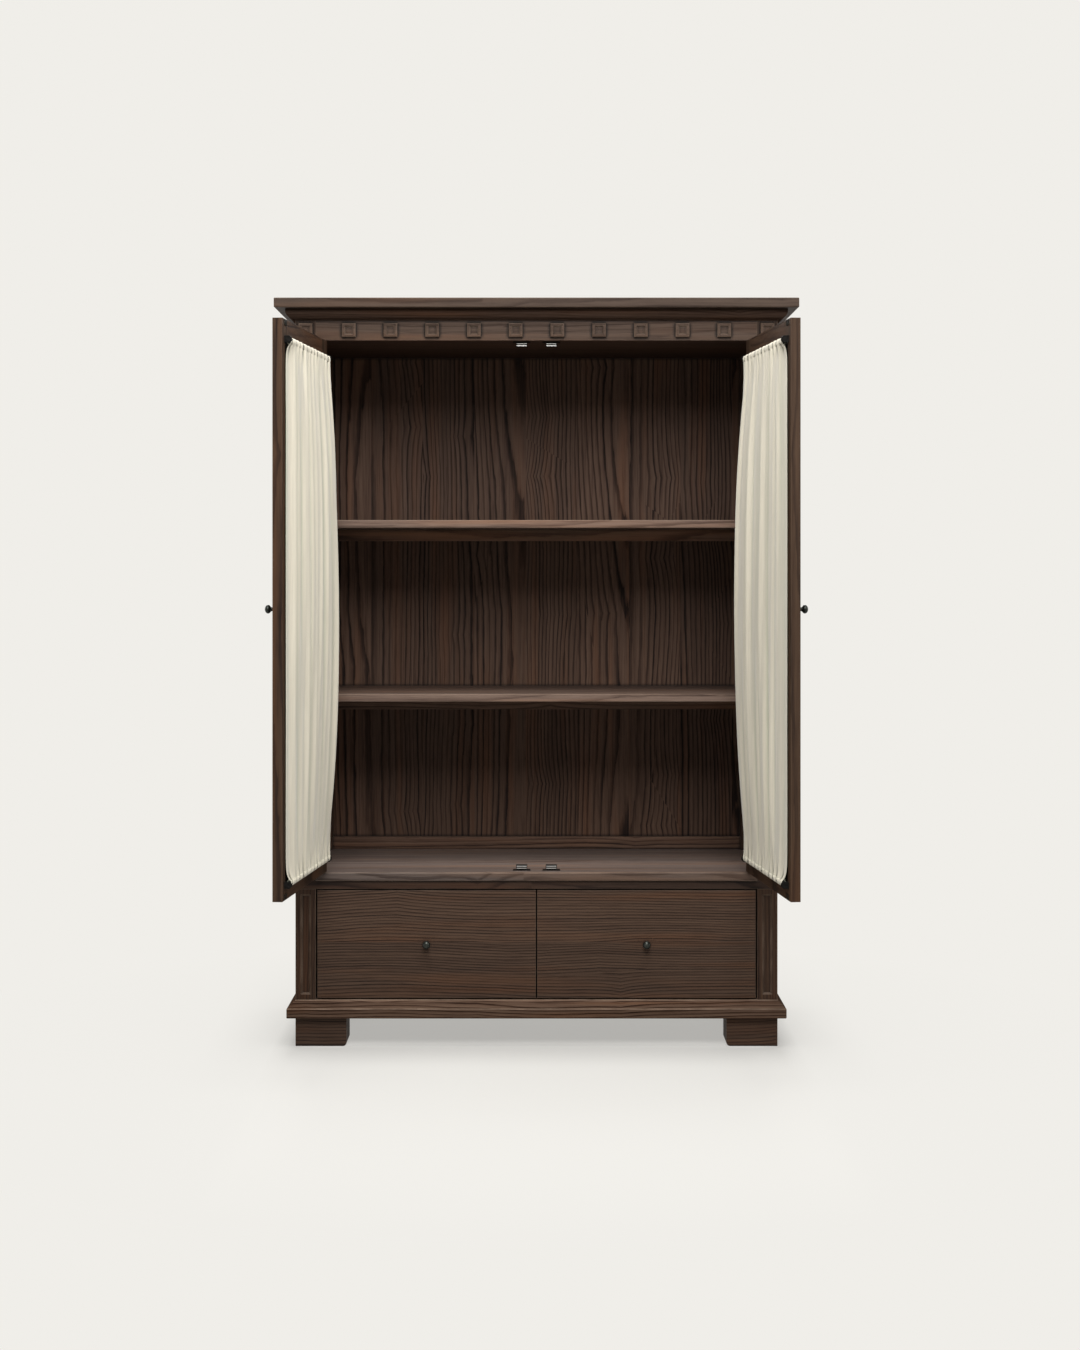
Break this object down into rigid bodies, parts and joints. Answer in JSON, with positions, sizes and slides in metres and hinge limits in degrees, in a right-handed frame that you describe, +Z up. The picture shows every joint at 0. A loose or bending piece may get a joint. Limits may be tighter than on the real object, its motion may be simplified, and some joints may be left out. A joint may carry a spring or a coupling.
{
  "type": "armoire",
  "caption": "Tall wooden armoire with curtained glass doors over shelves, drawers below, a cornice with small square blocks, and a moulded plinth on block feet.",
  "frame": {"origin": "on the floor, under the middle of the box round the armoire with its doors open", "axes": "+Z up, +X to the right as one faces the armoire, +Y from the front towards the back"},
  "size_m": [1.4, 1.1427, 2.005],
  "materials": {
    "stained_wood": "satin",
    "drawer_wood": "matte",
    "curtain_cloth": "matte",
    "door_glass": "gloss",
    "dark_iron": "satin",
    "bright_steel": "satin"
  },
  "bodies": {
    "case": {"back_rail": "stained_wood", "base_board": "stained_wood", "case_hinge_leaves": "bright_steel", "catch_bodies": "dark_iron", "catch_pole_plates": "bright_steel", "cornice_moulding": "stained_wood", "cupboard_floor": "stained_wood", "drawer_divider": "stained_wood", "drawer_runners": "drawer_wood", "frieze_blocks": "stained_wood", "frieze_board": "stained_wood", "front_feet": "stained_wood", "hinge_pins": "bright_steel", "left_lower_post": "stained_wood", "left_upper_post": "stained_wood", "lower_back_panel": "stained_wood", "lower_shelf": "stained_wood", "lower_side_panels": "stained_wood", "plinth_rails": "stained_wood", "rear_feet": "stained_wood", "rear_posts": "stained_wood", "right_lower_post": "stained_wood", "right_upper_post": "stained_wood", "shelf_bearers": "stained_wood", "side_head_rails": "stained_wood", "top_board": "stained_wood", "top_cap": "stained_wood", "upper_back_panel": "stained_wood", "upper_shelf": "stained_wood", "upper_side_panels": "stained_wood", "waist_board": "stained_wood"},
    "left_door": {"left_curtain": "curtain_cloth", "left_curtain_rods": "dark_iron", "left_door_beads": "stained_wood", "left_door_glass": "door_glass", "left_door_hinge_leaves": "bright_steel", "left_door_knob": "dark_iron", "left_door_rails": "stained_wood", "left_door_stiles": "stained_wood", "left_door_strikes": "bright_steel", "left_rod_brackets": "dark_iron"},
    "right_door": {"right_curtain": "curtain_cloth", "right_curtain_rods": "dark_iron", "right_door_beads": "stained_wood", "right_door_glass": "door_glass", "right_door_hinge_leaves": "bright_steel", "right_door_knob": "dark_iron", "right_door_rails": "stained_wood", "right_door_stiles": "stained_wood", "right_door_strikes": "bright_steel", "right_rod_brackets": "dark_iron"},
    "left_drawer": {"left_drawer_bottom": "drawer_wood", "left_drawer_box": "drawer_wood", "left_drawer_front": "stained_wood", "left_drawer_knob": "dark_iron"},
    "right_drawer": {"right_drawer_bottom": "drawer_wood", "right_drawer_box": "drawer_wood", "right_drawer_front": "stained_wood", "right_drawer_knob": "dark_iron"}
  },
  "joints": [
    {"name": "left_door_hinge", "type": "hinge", "parent": "case", "child": "left_door", "pos_m": [-0.59125, 0.01843, 1.182], "axis": [0, 0, -1], "range_deg": [-95.5, 25]},
    {"name": "right_door_hinge", "type": "hinge", "parent": "case", "child": "right_door", "pos_m": [0.59125, 0.01843, 1.182], "axis": [0, 0, 1], "range_deg": [-95.5, 25]},
    {"name": "left_drawer_slide", "type": "slide", "parent": "case", "child": "left_drawer", "axis": [0, -1, 0], "range_m": [0, 0.36]},
    {"name": "right_drawer_slide", "type": "slide", "parent": "case", "child": "right_drawer", "axis": [0, -1, 0], "range_m": [0, 0.36]}
  ]
}
